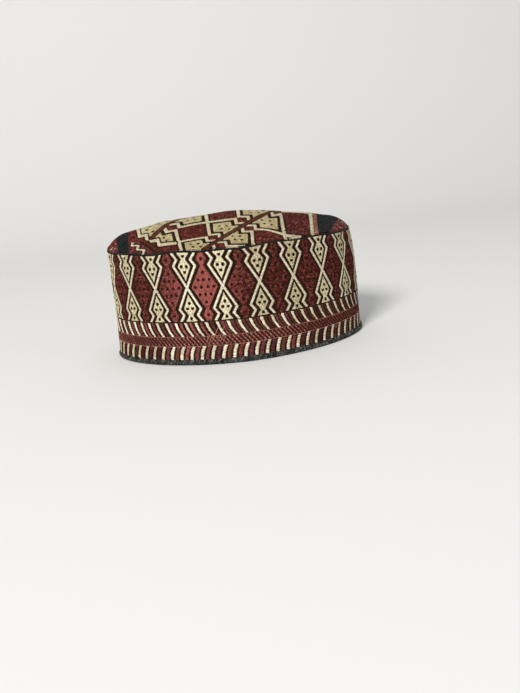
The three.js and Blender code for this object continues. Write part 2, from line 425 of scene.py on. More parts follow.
def mark_behind(kind, x, y):
    """The outline of the last figures behind, and the two brown lines that meet there."""
    for dot_x, dot_y in BACK_FIGURE_DOTS:
        kind[np.hypot(x - dot_x, (y - dot_y) / BACK_STEPS_PULL) < DOT] = NONE
    middle, half = BACK_CROSSING
    crossing = (kind == BROWN) & (np.abs(np.abs(y) - middle) < half)
    nearest, behind = back_steps(x, y)
    kind[behind & ~crossing] = RED
    kind[(nearest < BACK_STEPS_EDGE) & ~crossing] = DARK
    kind[nearest < BACK_STEPS_HALF] = CREAM
    join = (x - JOIN_PLACE[0]) * JOIN_NORMAL[0] + (y - JOIN_PLACE[1]) * JOIN_NORMAL[1]
    below = y < JOIN_PLACE[1] - JOIN_SLANT * join
    for limit, line in JOIN_LINES:
        kind[below & (join < limit)] = line
    zigzag = np.abs(join + ZIGZAG_PAST + ZIGZAG_SWING * np.sin(y / ZIGZAG_LENGTH))
    kind[below & (zigzag < ZIGZAG_EDGE)] = DARK
    kind[below & (zigzag < ZIGZAG_HALF)] = CREAM


def mark_ends(kind, x, y):
    """The dark end blocks, the lines before the front one, and the flecked cloth past both."""
    side = np.abs(y)
    front = x - FRONT_PANEL - FRONT_PANEL_SLANT * y
    back = BACK_PANEL - x
    past_front = front - FRONT_DEPTH + FRONT_DEPTH_SLANT * side
    past = np.maximum(past_front, back - BACK_DEPTH + BACK_DEPTH_SLANT * side)
    for ahead, line in FRONT_LINES:
        kind[front > -ahead] = line
    kind[np.maximum(front, back) > 0] = NAVY
    kind[past > 0] = np.where(side > END_RED, PLUM, RED)[past > 0]
    fleck = (y + FLECK_SLANT * np.abs(past % FLECK_TURN - FLECK_TURN / 2)) % FLECK_PITCH
    fleck = (np.abs(fleck - FLECK_AT) < FLECK_HALF) & (past > FLECK_HALF) & (side > FLECK_FROM)
    kind[fleck] = np.where(np.sin(y / 6.5) > -0.4, ROSE, CREAM)[fleck]


def strip_place(number):
    """Middle line and phase of the strips."""
    phase = np.where(number % 2 == 0, STRIP_PHASES[1], STRIP_PHASES[0])
    return STRIP_LINE + (number + 0.5) * STRIP_WIDTH, phase


def crown_region(e, m):
    """Kinds of stitch on the crown, e along the strips and m square to them."""
    number = np.floor((m - STRIP_LINE) / STRIP_WIDTH).astype(int)
    centre, phase = strip_place(number)
    u = (e - phase + STRIP_REPEAT / 2) % STRIP_REPEAT - STRIP_REPEAT / 2
    q = np.abs(m - centre)
    kind = figures(u, q, STRIP_REPEAT / 2, CROWN_MOTIF)
    edge = STRIP_WIDTH / 2 - q
    kind[edge < BROWN_EDGE] = DARK
    kind[edge < BROWN_HALF] = BROWN
    last = (number == BACK_FIGURE_STRIP) & (m < centre) & (edge > BROWN_EDGE)
    kind[last & (e < BACK_FIGURE_END + 1)] = DARK
    kind[last & (e < BACK_FIGURE_END)] = STRAW
    x, y = crown_place(e, m)
    mark_behind(kind, x, y)
    mark_ends(kind, x, y)
    kind[(crown_reach(x, y) > 1) | past_near_end(e, m)] = NONE
    return kind


# Laid stitches

SCAN_STEP = 0.2


def scan(region, starts, rows):
    """Runs of one kind along each row: start, end, row and kind."""
    found = []
    for row in rows:
        kinds = region(starts, np.full(starts.shape, row))
        change = np.flatnonzero(np.diff(kinds)) + 1
        first = np.concatenate([[0], change])
        last = np.concatenate([change, [len(kinds)]])
        keep = kinds[first] != NONE
        size = np.count_nonzero(keep)
        begin = starts[first[keep]] - SCAN_STEP / 2
        finish = starts[last[keep] - 1] + SCAN_STEP / 2
        found.append(np.stack([begin, finish, np.full(size, row), kinds[first[keep]]]))
    return np.concatenate(found, axis=1)


def laid_rows(region, starts, rows, longest, pitch):
    """Stitches for a pattern, with its long runs cut in brick order."""
    begin, finish, row, kind = scan(region, starts, rows)
    length = finish - begin
    limit = np.array(longest)[kind.astype(int)]
    count = np.ceil(length / limit).astype(int)
    odd = (np.round(row / pitch).astype(int) % 2 == 1) & (count > 1)
    total = count + odd
    which = np.repeat(np.arange(len(begin)), total)
    number = np.arange(total.sum()) - np.repeat(np.cumsum(total) - total, total)
    offset = np.where(odd[which], 0.5, 0.0)
    size = (length / count)[which]
    start = begin[which] + np.maximum(number - offset, 0) * size
    end = np.minimum(begin[which] + (number + 1 - offset) * size, finish[which])
    return start, end, row[which], kind[which].astype(int)


def link_object(name, data):
    obj = bpy.data.objects.new(name, data)
    bpy.context.scene.collection.objects.link(obj)
    return obj


def new_object(name, points, faces, *materials):
    """A mesh object from points in millimetres and rows of triangle or quad corners."""
    mesh = bpy.data.meshes.new(name)
    points = np.asarray(points, np.float32).reshape(-1, 3)
    faces = np.asarray(faces, np.int32)
    faces = faces.reshape(-1, faces.shape[-1])
    mesh.vertices.add(len(points))
    mesh.vertices.foreach_set("co", (points * MM).ravel())
    mesh.loops.add(faces.size)
    mesh.loops.foreach_set("vertex_index", faces.ravel())
    mesh.polygons.add(len(faces))
    mesh.polygons.foreach_set("loop_start", np.arange(0, faces.size, faces.shape[1], dtype=np.int32))
    mesh.polygons.foreach_set("use_smooth", np.full(len(faces), True))
    mesh.update(calc_edges=True)
    for material in materials:
        mesh.materials.append(material)
    return link_object(name, mesh)


def set_map(obj, places):
    """A surface map from one pair for each point."""
    mesh = obj.data
    corners = np.zeros(len(mesh.loops), np.int32)
    mesh.loops.foreach_get("vertex_index", corners)
    layer = mesh.uv_layers.new(name="cloth")
    layer.data.foreach_set("uv", np.asarray(places, np.float32).reshape(-1, 2)[corners].ravel())


def set_tone(obj, tone):
    attribute = obj.data.attributes.new("tone", "FLOAT", "POINT")
    attribute.data.foreach_set("value", np.asarray(tone, np.float32))


RING_SIDE = np.array([-0.5, -0.27, 0.27, 0.5])
RING_UP = np.array([0, 1, 1, 0])
STITCH_FACES = []
for i in range(4):
    j = (i + 1) % 4
    STITCH_FACES.append((0, 2 + j, 2 + i))
    STITCH_FACES.append((2 + i, 2 + j, 6 + j))
    STITCH_FACES.append((2 + i, 6 + j, 6 + i))
    STITCH_FACES.append((1, 6 + i, 6 + j))
STITCH_FACES = np.array(STITCH_FACES)
STITCH_SHOULDER = 0.2  # share of the length over which a stitch rises at each end
STITCH_ROOT = 0.12  # how deep its ends lie under the level it is laid on
STITCH_SHARES = np.array([0, 1] + [STITCH_SHOULDER] * 4 + [1 - STITCH_SHOULDER] * 4)
STITCH_TURNS = np.array([0.5, 0.5, 0, 0.33, 0.67, 1, 0, 0.33, 0.67, 1])
MAP_SPREAD = 40.0  # each stitch takes its own part of the thread's texture


def stitches(name, first, last, normal, width, height, tone, material):
    """One mesh of small closed pillows, each a thread laid from first to last."""
    count = len(first)
    along = last - first
    side = np.cross(along, normal)
    side = side / np.maximum(np.linalg.norm(side, axis=1, keepdims=True), 1e-9)
    width = np.broadcast_to(width, count)[:, None, None]
    height = np.broadcast_to(height, count)[:, None, None]
    ring = side[:, None] * RING_SIDE[None, :, None] * width
    ring = ring + normal[:, None] * RING_UP[None, :, None] * height
    near = first + along * STITCH_SHOULDER
    far = last - along * STITCH_SHOULDER
    points = np.concatenate([
        (first - normal * STITCH_ROOT)[:, None],
        (last - normal * STITCH_ROOT)[:, None],
        near[:, None] + ring,
        far[:, None] + ring,
    ], axis=1)
    faces = STITCH_FACES[None] + 10 * np.arange(count)[:, None, None]
    obj = new_object(name, points, faces, material)
    length = np.linalg.norm(along, axis=1)[:, None]
    start = rng.rand(count)[:, None] * MAP_SPREAD
    turn = np.broadcast_to(STITCH_TURNS[None], (count, 10))
    set_map(obj, np.stack([start + length * STITCH_SHARES[None], turn], -1))
    set_tone(obj, np.repeat(tone, 10))
    return obj


# Materials

def new_material(name):
    material = bpy.data.materials.new(name)
    material.use_nodes = True
    return material, material.node_tree.nodes["Principled BSDF"]


def set_inputs(node, inputs):
    """Gives each input a value or another node's output."""
    for name, value in inputs.items():
        if isinstance(value, bpy.types.NodeSocket):
            node.id_data.links.new(value, node.inputs[name])
        else:
            node.inputs[name].default_value = value


def add_node(material, kind, inputs=None, **settings):
    node = material.node_tree.nodes.new(kind)
    for name, value in settings.items():
        setattr(node, name, value)
    set_inputs(node, inputs or {})
    return node


def mixed(material, colours, share):
    """Two colours mixed by share."""
    sides = {"Factor": share, "A": (*colours[0], 1), "B": (*colours[1], 1)}
    return add_node(material, "ShaderNodeMix", sides, data_type="RGBA").outputs["Result"]


def raised(material, relief, strength, distance):
    inputs = {"Height": relief, "Strength": strength, "Distance": distance}
    return add_node(material, "ShaderNodeBump", inputs).outputs["Normal"]


def thread_material(name, dark, light, sheen, speck=2.2, depth=0.5):
    """Twisted cotton thread whose colour runs from dark to light with the tone of each stitch."""
    material, shader = new_material(name)
    tone = add_node(material, "ShaderNodeAttribute", attribute_name="tone").outputs["Fac"]
    place = add_node(material, "ShaderNodeUVMap", uv_map="cloth").outputs["UV"]
    fibre = add_node(material, "ShaderNodeTexNoise", {"Vector": place, "Scale": speck, "Detail": 3})
    specks = {0: fibre.outputs["Fac"], 1: depth, 2: -depth / 2}
    spread = add_node(material, "ShaderNodeMath", specks, operation="MULTIPLY_ADD")
    parts = {0: tone, 1: spread.outputs[0]}
    total = add_node(material, "ShaderNodeMath", parts, operation="ADD", use_clamp=True)
    wave = {"Vector": place, "Scale": 0.9, "Distortion": 0.4}
    twist = add_node(material, "ShaderNodeTexWave", wave, bands_direction="DIAGONAL").outputs["Fac"]
    set_inputs(shader, {
        "Base Color": mixed(material, (dark, light), total.outputs[0]),
        "Normal": raised(material, twist, 0.35, 0.00008),
        "Roughness": 0.8,
        "Sheen Weight": sheen,
        "Specular IOR Level": 0.05,
    })
    return material


def cloth_material(name, colour, patch):
    """Plain woven cloth, with soft patches of a second colour. Its map is in millimetres."""
    material, shader = new_material(name)
    place = add_node(material, "ShaderNodeUVMap", uv_map="cloth").outputs["UV"]
    cloud = add_node(material, "ShaderNodeTexNoise", {"Vector": place, "Scale": 0.09, "Detail": 5})
    wave = {"Vector": place, "Scale": 1.1, "Distortion": 0.6, "Detail Scale": 0.5}
    waves = [add_node(material, "ShaderNodeTexWave", wave, bands_direction=way) for way in "XY"]
    crossed = {0: waves[0].outputs["Fac"], 1: waves[1].outputs["Fac"]}
    weft = add_node(material, "ShaderNodeMath", crossed, operation="MULTIPLY").outputs[0]
    set_inputs(shader, {
        "Base Color": mixed(material, (colour, patch), cloud.outputs["Fac"]),
        "Normal": raised(material, weft, 0.6, 0.00015),
        "Roughness": 0.9,
        "Sheen Weight": 0.15,
    })
    return material


# Dark and light colour of each thread, its sheen, and for one the size and depth of its specks
THREAD_LOOKS = {
    DARK: ((0.016, 0.005, 0.003), (0.066, 0.026, 0.015), 0),
    NAVY: ((0.005, 0.007, 0.009), (0.034, 0.036, 0.036), 0.02),
    CREAM: ((0.4, 0.335, 0.19), (0.88, 0.82, 0.645), 0.15),
    RED: ((0.056, 0.009, 0.005), (0.46, 0.13, 0.11), 0.01, 1.15, 1.5),
    ROSE: ((0.12, 0.034, 0.025), (0.55, 0.25, 0.19), 0.02),
    BROWN: ((0.05, 0.015, 0.008), (0.18, 0.065, 0.036), 0.01),
    PLUM: ((0.05, 0.011, 0.011), (0.27, 0.08, 0.08), 0.01),
    STRAW: ((0.34, 0.27, 0.12), (0.84, 0.79, 0.54), 0.15),
    EDGE: ((0.006, 0.007, 0.007), (0.2, 0.205, 0.19), 0.05),
}
NAMES = ("dark", "cream", "red", "rose", "brown", "plum", "navy", "straw", "edge")
THREADS = {kind: thread_material(NAMES[kind] + "_thread", *looks) for kind, looks in THREAD_LOOKS.items()}
GROUND = cloth_material("ground_cloth", (0.014, 0.006, 0.004), (0.04, 0.017, 0.011))
INSIDE = cloth_material("inner_cloth", (0.32, 0.27, 0.2), (0.22, 0.17, 0.13))


# Side band

ROW_PITCH = 0.92
STITCH_WIDTH = 1.0
STITCH_LAP = 0.12  # how far a stitch reaches past each end of its run
SLANT = 0.16  # largest rise of one end over the middle
LONGEST = (4.2, 2.6, 2.1, 2.3, 2.3, 2.3, 2.3, 2.6)  # longest stitch of each kind
HEIGHTS = (0.34, 0.56, 0.44, 0.5, 0.4, 0.44, 0.4, 0.52)
GROUND_LIFT = -0.5
THREAD_LIFT = -0.42
BAND_FACETS = 576


def place_piece(obj, node=None):
    """Hangs a piece under the root, and hides the solid that it takes the place of."""
    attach(obj, "root")
    if node:
        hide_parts(node)


def closed_ring(name, points, runs, around, *materials):
    """A closed ring from one row of points for each run."""
    count, size = points.shape[:2]
    k, i = np.meshgrid(np.arange(count), np.arange(size), indexing="ij")
    k1 = (k + 1) % count
    i1 = (i + 1) % size
    faces = np.stack([k * size + i, k1 * size + i, k1 * size + i1, k * size + i1], -1)
    obj = new_object(name, points, faces, *materials)
    set_map(obj, np.stack(np.broadcast_arrays(runs[:, None], around[None]), -1))
    return obj


def band_cloth():
    runs = np.arange(BAND_FACETS) * GIRTH / BAND_FACETS
    foot = BINDING_SOLE + GAP
    top = BAND_HEIGHT - 0.2
    outer = [(-BAND_PINCH, foot), (-BAND_PINCH, BINDING_HEIGHT)]
    outer += [(GROUND_LIFT, up) for up in np.linspace(BINDING_HEIGHT + 1, top, 40)]
    inner = [(-BAND_CLOTH, up) for up in np.linspace(top, BINDING_HEIGHT + 1, 12)]
    inner += [(BAND_PINCH - BAND_CLOTH, foot)]
    lifts, ups = np.array(outer + inner).T
    points = band_point(runs[:, None], ups[None], lifts[None])
    obj = closed_ring("side_band_cloth", points, runs, lengths_along(lifts, ups), GROUND, INSIDE)
    inside = np.tile(np.arange(len(lifts)) >= len(outer) - 1, len(runs))
    obj.data.polygons.foreach_set("material_index", inside.astype(np.int32))
    place_piece(obj, "side_band")


# Painted highlight, partly faded thread as well: threads are lighter round one place on the near side.
HIGHLIGHT_FADED_AT = -34.0
HIGHLIGHT_FADED_HALF = 28.0
# Painted shade: threads are darker towards the front.
FRONT_SHADE = (10.0, 60.0)  # from where threads darken towards the front, and over what run


def highlight_and_fading(run):
    """Painted highlight, partly faded thread as well, round one place on the near side, as a share."""
    return np.exp(-((run - HIGHLIGHT_FADED_AT) / HIGHLIGHT_FADED_HALF) ** 2)


def band_stitches(name, kind, first, last, tone, width=STITCH_WIDTH, height=None):
    """Stitches between places given as (run, up) pairs on the side band."""
    a = band_point(first[0], first[1], THREAD_LIFT)
    b = band_point(last[0], last[1], THREAD_LIFT)
    normal = level_normal((first[0] + last[0]) / 2)
    if height is None:
        height = HEIGHTS[kind]
    obj = stitches(name, a, b, normal, width, height, tone, THREADS[kind])
    place_piece(obj)


# Threads of the main band: tone, what the painted highlight with fading and the figure's own tone add, and
# spread
BAND_TONES = {
    DARK: (0.22, 0, 0, 0.2),
    CREAM: (0.48, 0.4, 0, 0.12),
    RED: (0.06, 0.72, 0, 0.17),
    STRAW: (0.42, 0.55, 1, 0.14),
}


BAND_STARTS = np.arange(-GIRTH / 2 + SCAN_STEP / 2, GIRTH / 2, SCAN_STEP)


def main_band():
    rows = np.arange(STRIPES_TOP + 0.8, BAND_HEIGHT - 0.4, ROW_PITCH)
    start, end, row, kind = laid_rows(band_region, BAND_STARTS, rows, LONGEST, ROW_PITCH)
    slant = SLANT * np.where(rng.rand(len(start)) < 0.5, -1, 1) * rng.rand(len(start))
    row = row + 0.07 * rng.randn(len(row))
    middle = (start + end) / 2
    # painted highlight, partly faded thread, round one place on the near side
    highlight_and_fade = highlight_and_fading(middle)
    figure = np.round((middle - REPEAT_PHASE) * REPEATS / GIRTH)
    own = 0.1 * np.sin(2.4 * figure + 1)
    for number, (level, highlight_and_fade_gain, figured, spread) in BAND_TONES.items():
        pick = kind == number
        tone = (level + highlight_and_fade_gain * highlight_and_fade + figured * own)[pick] + spread * rng.randn(pick.sum())
        first = (start[pick] - STITCH_LAP, row[pick] - slant[pick])
        last = (end[pick] + STITCH_LAP, row[pick] + slant[pick])
        band_stitches(f"band_{NAMES[number]}_stitches", number, first, last, tone)


# Eyelets at the bare dots: low round knots with a sunk middle

EYELET_REACH = np.array([0.46, 0.86, 1.22, 1.35])
EYELET_UP = np.array([0.3, 0.62, 0.5, 0.0])
EYELET_SIDES = 9
EYELET_STRAY = 0.12


def eyelets(name, centres, normals):
    """One mesh of eyelets. centres lie on the cloth."""
    count = len(centres)
    helper = np.tile([0.3, 0.2, 0.93], (count, 1))
    first = np.cross(normals, helper)
    first = first / np.linalg.norm(first, axis=1, keepdims=True)
    second = np.cross(normals, first)
    size = 1 + 0.1 * rng.randn(count)
    turn = 2 * np.pi * np.arange(EYELET_SIDES) / EYELET_SIDES
    across = first[:, None] * np.cos(turn)[None, :, None]
    across = across + second[:, None] * np.sin(turn)[None, :, None]
    rings = []
    for reach, up in zip(EYELET_REACH, EYELET_UP):
        rings.append(centres[:, None] + across * reach * size[:, None, None] + normals[:, None] * up)
    middle = (centres + normals * STITCH_ROOT)[:, None]
    foot = (centres - normals * STITCH_ROOT)[:, None]
    points = np.concatenate([middle] + rings + [foot], axis=1)
    each = points.shape[1]
    faces = []
    total = len(EYELET_REACH)
    for i in range(EYELET_SIDES):
        j = (i + 1) % EYELET_SIDES
        faces.append((0, 1 + i, 1 + j))
        for ring in range(total - 1):
            a = 1 + ring * EYELET_SIDES
            b = a + EYELET_SIDES
            faces.append((a + i, b + i, b + j))
            faces.append((a + i, b + j, a + j))
        last = 1 + (total - 1) * EYELET_SIDES
        faces.append((last + i, each - 1, last + j))
    faces = np.array(faces)[None] + each * np.arange(count)[:, None, None]
    obj = new_object(name, points, faces, THREADS[DARK])
    spots = np.tile(np.linspace(0, 3, each), count)
    set_map(obj, np.stack([spots, np.repeat(rng.rand(count) * 30, each)], -1))
    set_tone(obj, np.repeat(0.12 + 0.15 * rng.rand(count), each))
    place_piece(obj)


def motif_dots(motif, half_repeat):
    """Every bare dot of one repeat, as (u, m) pairs from a crossing."""
    places = set()
    for u, q in motif["figure_dots"]:
        places.update([(u, q), (-u, q), (u, -q), (-u, -q)])
    for u, q in motif["diamond_dots"]:
        places.update([(half_repeat + v, w) for v in (u, -u) for w in (q, -q)])
    return np.array(sorted(places))


def band_eyelets():
    dots = motif_dots(BAND_MOTIF, REPEAT / 2)
    u = (dots[None, :, 0] + REPEAT * np.arange(REPEATS)[:, None]).ravel() + REPEAT_PHASE
    up = MAIN_MIDDLE + np.tile(dots[:, 1], REPEATS)
    run = u - MAIN_LEAN * (up - MAIN_MIDDLE) - hand_sway(u, up)
    run = run + EYELET_STRAY * rng.randn(len(run))
    up = up + EYELET_STRAY * rng.randn(len(run))
    eyelets("band_eyelets", band_point(run, up, THREAD_LIFT), level_normal(run))


def crown_eyelets():
    dots = motif_dots(CROWN_MOTIF, STRIP_REPEAT / 2)
    es, ms = [], []
    for number in range(-3, 3):
        centre, phase = strip_place(number)
        for repeat in range(-4, 8):
            es.append(phase + repeat * STRIP_REPEAT + dots[:, 0])
            ms.append(centre + dots[:, 1])
    e, m = np.concatenate(es), np.concatenate(ms)
    bare = crown_region(e, m) == NONE
    x, y = crown_place(e, m)
    bare &= (crown_reach(x, y) < 0.97) & ~past_near_end(e, m)
    last_x, last_y = np.transpose(BACK_FIGURE_DOTS)
    x = np.append(x[bare], last_x)
    y = np.append(y[bare], last_y)
    points, normal = crown_point(x, y, THREAD_LIFT)
    eyelets("crown_eyelets", points, normal)


# Border rows of the side band

STRIPE_ROW = 1.2
STRIPE_LONGEST = (4.2, 3.4, 3.4, 3.4, 3.4, 3.4)
PLAIN_FROM = -16.0  # from here on towards the front the upper stripes are brown in pairs
UPPER_LEAN = 6.2
UPPER_SAG = 1.0
UPPER_PHASE = -0.25
LOWER_LEAN = 3.2
LOWER_SAG = 0.7
LOWER_PHASE = 0.49
# Threads of the stripes: tone, and what the painted highlight with fading adds
STRIPE_TONES = {DARK: (0.2, 0), CREAM: (0.62, 0), RED: (0.25, 0.35), PLUM: (0.36, 0.2), BROWN: (0.4, 0)}


def stripe_kind(count, wide, middle, second, turns):
    """Kinds of stitch for stripes: the light ones are wide, and the others second wide."""
    place = count % 1
    number = np.floor(count).astype(int)
    kind = np.full(np.shape(place), DARK)
    kind[place < wide] = CREAM
    other = np.abs(place - middle) < second / 2
    kind[other] = np.array(turns)[number[other] * 7 % len(turns)]
    return kind


def upper_stripes(run, up):
    down = (STRIPES_TOP - up) / (STRIPES_TOP - TWILL_TOP)
    shift = UPPER_LEAN * down - UPPER_SAG * np.sin(np.pi * down)
    count = (run - shift) * STRIPES / GIRTH + UPPER_PHASE
    wide = 0.31 - 0.08 * down
    kind = stripe_kind(count, wide, 0.62, 0.28 - 0.05 * down, (RED, RED, BROWN, RED, PLUM))
    paired = stripe_kind(count, wide, 0.5, 0.24, (BROWN, PLUM, BROWN, BROWN, PLUM))
    paired[np.abs(count % 1 - 0.83) < 0.11] = BROWN
    return np.where((run > PLAIN_FROM) & (run < GIRTH * 0.4), paired, kind)


def lower_stripes(run, up):
    rise = (up - BINDING_HEIGHT) / (TWILL_FOOT - BINDING_HEIGHT)
    shift = LOWER_LEAN * rise - LOWER_SAG * np.sin(np.pi * rise)
    count = (run - shift) * STRIPES / GIRTH + LOWER_PHASE
    return stripe_kind(count, 0.31 - 0.02 * rise, 0.65, 0.35, (PLUM, BROWN, PLUM, RED, PLUM))


def stripe_band(name, region, low, high, dim):
    """Rows of stripes between two heights. dim is how much they darken towards the back."""
    rows = np.arange(low + STRIPE_ROW / 2, high, STRIPE_ROW)
    start, end, row, kind = laid_rows(region, BAND_STARTS, rows, STRIPE_LONGEST, STRIPE_ROW)
    light = kind != DARK
    start = start - np.where(light, 0.1 + 0.5 * rng.rand(len(start)), 0)
    end = end + np.where(light, 0.3 * rng.rand(len(start)), 0)
    tilt = np.where(light, 0.4, 0.1)
    for number, (level, highlight_and_fade_gain) in STRIPE_TONES.items():
        pick = kind == number
        middle = (start[pick] + end[pick]) / 2
        # Painted shade darkens the stripes towards the front; dim darkens them towards the back.
        shade = 0.3 * ease_over(middle, FRONT_SHADE) + dim * ease_over(-middle, (60, 25))
        # Painted highlight, partly faded thread, lightens the stripes round one place on the near side.
        base = level + highlight_and_fade_gain * highlight_and_fading(middle + 18) - shade
        group = np.round(start[pick] * STRIPES / GIRTH)
        own = 0.14 * np.sin(group * 2.4) + 0.1 * np.sin(group * 5.1)
        tone = base + own + 0.1 * rng.randn(pick.sum())
        first = (start[pick], row[pick] + tilt[pick])
        last = (end[pick] + 0.1, row[pick] - tilt[pick])
        piece = f"{name}_{NAMES[number]}_stitches"
        band_stitches(piece, number, first, last, tone, width=STRIPE_ROW * 1.08)


TWILL_COUNT = 168
TWILL_LEAN = 6.4
# Threads of the twill: kind, place within the pitch, width, height and tone
TWILL_THREADS = ((RED, 0, 1.6, 0.16, -0.1), (ROSE, 0.5, 0.95, 0.46, 0.5))


def twill_band():
    """Slanting threads in short lengths, the light ones over the dark ones."""
    pitch = GIRTH / TWILL_COUNT
    runs = -GIRTH / 2 + pitch * np.arange(TWILL_COUNT)
    levels = np.linspace(TWILL_TOP - 0.4, TWILL_FOOT + 0.4, 4)
    for number, place, width, height, tone in TWILL_THREADS:
        ends = ([], [])
        for levels_here in zip(levels[:-1], levels[1:]):
            for end, level, lap in zip(ends, levels_here, (STITCH_LAP, -STITCH_LAP)):
                share = (TWILL_TOP - level) / (TWILL_TOP - TWILL_FOOT) - 0.5
                end.append((runs + place * pitch + TWILL_LEAN * share, np.full(TWILL_COUNT, level + lap)))
        first, last = (np.concatenate(end, axis=1) for end in ends)
        tone = tone + 0.12 * rng.randn(first.shape[1])
        # Painted shade darkens the twill towards the front; it is also darker towards the back.
        tone = tone - 0.45 * ease_over(first[0], FRONT_SHADE) - 0.42 * ease_over(-first[0], (45, 40))
        piece = f"twill_{NAMES[number]}_stitches"
        band_stitches(piece, number, first, last, tone, width=width, height=height)


def mended_place():
    """Loose rose threads that cross the twill at one place on the near side."""
    runs = np.array([-31.5, -29.5, -27.0, -24.5, -22.5, -20.0, -18.2])
    drops = np.array([5.2, 6.8, 6.0, 9.5, 6.6, 5.6, 6.2])
    rises = np.array([2.0, 2.5, 8.5, 3.2, 9.5, 2.0, 2.2])
    first = (runs + 1.8 + 0.5 * rises, TWILL_TOP + rises)
    last = (runs - 2.0, TWILL_TOP - drops)
    tone = 0.7 + 0.15 * rng.randn(len(runs))
    band_stitches("mending_stitches", ROSE, first, last, tone, width=0.5, height=0.85)


def edge_lines():
    """Backstitched rose lines above and below the twill, and a dark one under the main band."""
    count = 230
    pitch = GIRTH / count
    runs = -GIRTH / 2 + pitch * np.arange(count)
    for name, number, up in (
        ("twill_top_line", ROSE, TWILL_TOP),
        ("twill_foot_line", ROSE, TWILL_FOOT),
        ("stripes_top_line", DARK, STRIPES_TOP),
    ):
        first = (runs, np.full(count, up))
        last = (runs + pitch * 1.05, np.full(count, up))
        tone = 0.36 + 0.12 * rng.randn(count)
        band_stitches(name, number, first, last, tone, width=0.75, height=0.55)


# Crown

CROWN_SEAT = BAND_CLOTH + SEAM_PROUD + GAP


def crown_cloth():
    """The sheet of the crown, with its edge and its underside."""
    count = 480
    runs = np.arange(count) * GIRTH / count
    rim_x, rim_y = np.stack(outline(runs)) * TOP_SHARE
    nx, ny = outward(runs)
    outer_shares = np.concatenate([np.linspace(0.015, 0.95, 48), [0.965, 0.98, 0.99]])
    rings = [crown_point(rim_x * share, rim_y * share, GROUND_LIFT)[0] for share in outer_shares]
    for inward, up in ((0.5, RIM_HEIGHT - 0.9), (0.4, SEAT_HEIGHT - 0.6), (CROWN_SEAT, SEAT_HEIGHT)):
        x, y = rim_x - nx * inward, rim_y - ny * inward
        rings.append(np.stack([x - front_lean(x), y, up - rim_drop(x, y)], -1))
    outer_count = len(rings)
    for share in np.linspace(0.93, 0.015, 24):
        x, y = rim_x * share, rim_y * share
        ring = crown_point(x, y, -CROWN_CLOTH)[0]
        ring[:, 2] = np.maximum(ring[:, 2], SEAT_HEIGHT - rim_drop(x, y))
        rings.append(ring)
    points = np.concatenate(rings)
    ring, k = np.meshgrid(np.arange(len(rings) - 1), np.arange(count), indexing="ij")
    k1 = (k + 1) % count
    a = ring * count
    b = (ring + 1) * count
    faces = np.stack([a + k, b + k, b + k1, a + k1], -1).reshape(-1, 4)
    top = len(points)
    centre = crown_point(0, 0, GROUND_LIFT)[0]
    under = crown_point(0, 0, -CROWN_CLOTH)[0]
    points = np.concatenate([points, centre[None], under[None]])
    near = np.arange(0, count, 2)
    far = (near + 2) % count
    first = np.stack([np.full(len(near), top), near, near + 1, far], -1)
    base = (len(rings) - 1) * count
    last = np.stack([np.full(len(near), top + 1), base + far, base + near + 1, base + near], -1)
    faces = np.concatenate([faces, first, last])
    obj = new_object("crown_cloth", points, faces, GROUND, INSIDE)
    set_map(obj, points[:, :2])
    inside = np.concatenate([ring.ravel() >= outer_count - 1, np.zeros(len(first)), np.ones(len(last))])
    obj.data.polygons.foreach_set("material_index", inside.astype(np.int32))
    place_piece(obj, "crown")


CROWN_KINDS = range(EDGE)  # all kinds but the one of the binding
CROWN_TONES = (0.16, 0.26, 0.03, 0.39, 0.18, 0.25, 0.2, 0.12)
CROWN_SPREAD = (0.18, 0.14, 0.2, 0.18, 0.2, 0.25, 0.25, 0.16)
RIM_COUNT = 600
RIM_STITCH_DOWN = 1.5  # how far below the rim its stitches end


def crown_tone(number, count):
    return CROWN_TONES[number] + CROWN_SPREAD[number] * rng.randn(count)


def crown_stitches():
    """The stitches of the crown. Gives back their places and kinds, for the rim."""
    reach = math.hypot(LENGTH, WIDTH) / 2
    starts = np.arange(-reach, reach, SCAN_STEP)
    rows = np.arange(-reach, reach, ROW_PITCH)
    start, end, row, kind = laid_rows(crown_region, starts, rows, LONGEST, ROW_PITCH)
    row = row + 0.06 * rng.randn(len(row))
    slant = SLANT * (2 * rng.rand(len(row)) - 1)
    for number in CROWN_KINDS:
        pick = kind == number
        tone = crown_tone(number, pick.sum())
        place = crown_place(start[pick] - STITCH_LAP, row[pick] - slant[pick])
        first, normal = crown_point(*place, THREAD_LIFT)
        place = crown_place(end[pick] + STITCH_LAP, row[pick] + slant[pick])
        last = crown_point(*place, THREAD_LIFT)[0]
        middle = (start[pick] + end[pick]) / 2
        low = np.stack(crown_place(middle, row[pick] - 0.5))
        high = np.stack(crown_place(middle, row[pick] + 0.5))
        along = (last - first)[:, :2].T
        along = along / np.linalg.norm(along, axis=0)
        apart = np.abs((high - low)[0] * along[1] - (high - low)[1] * along[0])
        width = STITCH_WIDTH * np.clip(apart, 0.5, 2.2)
        name = f"crown_{NAMES[number]}_stitches"
        obj = stitches(name, first, last, normal, width, HEIGHTS[number], tone, THREADS[number])
        place_piece(obj)
    return np.stack(crown_place((start + end) / 2, row)), kind


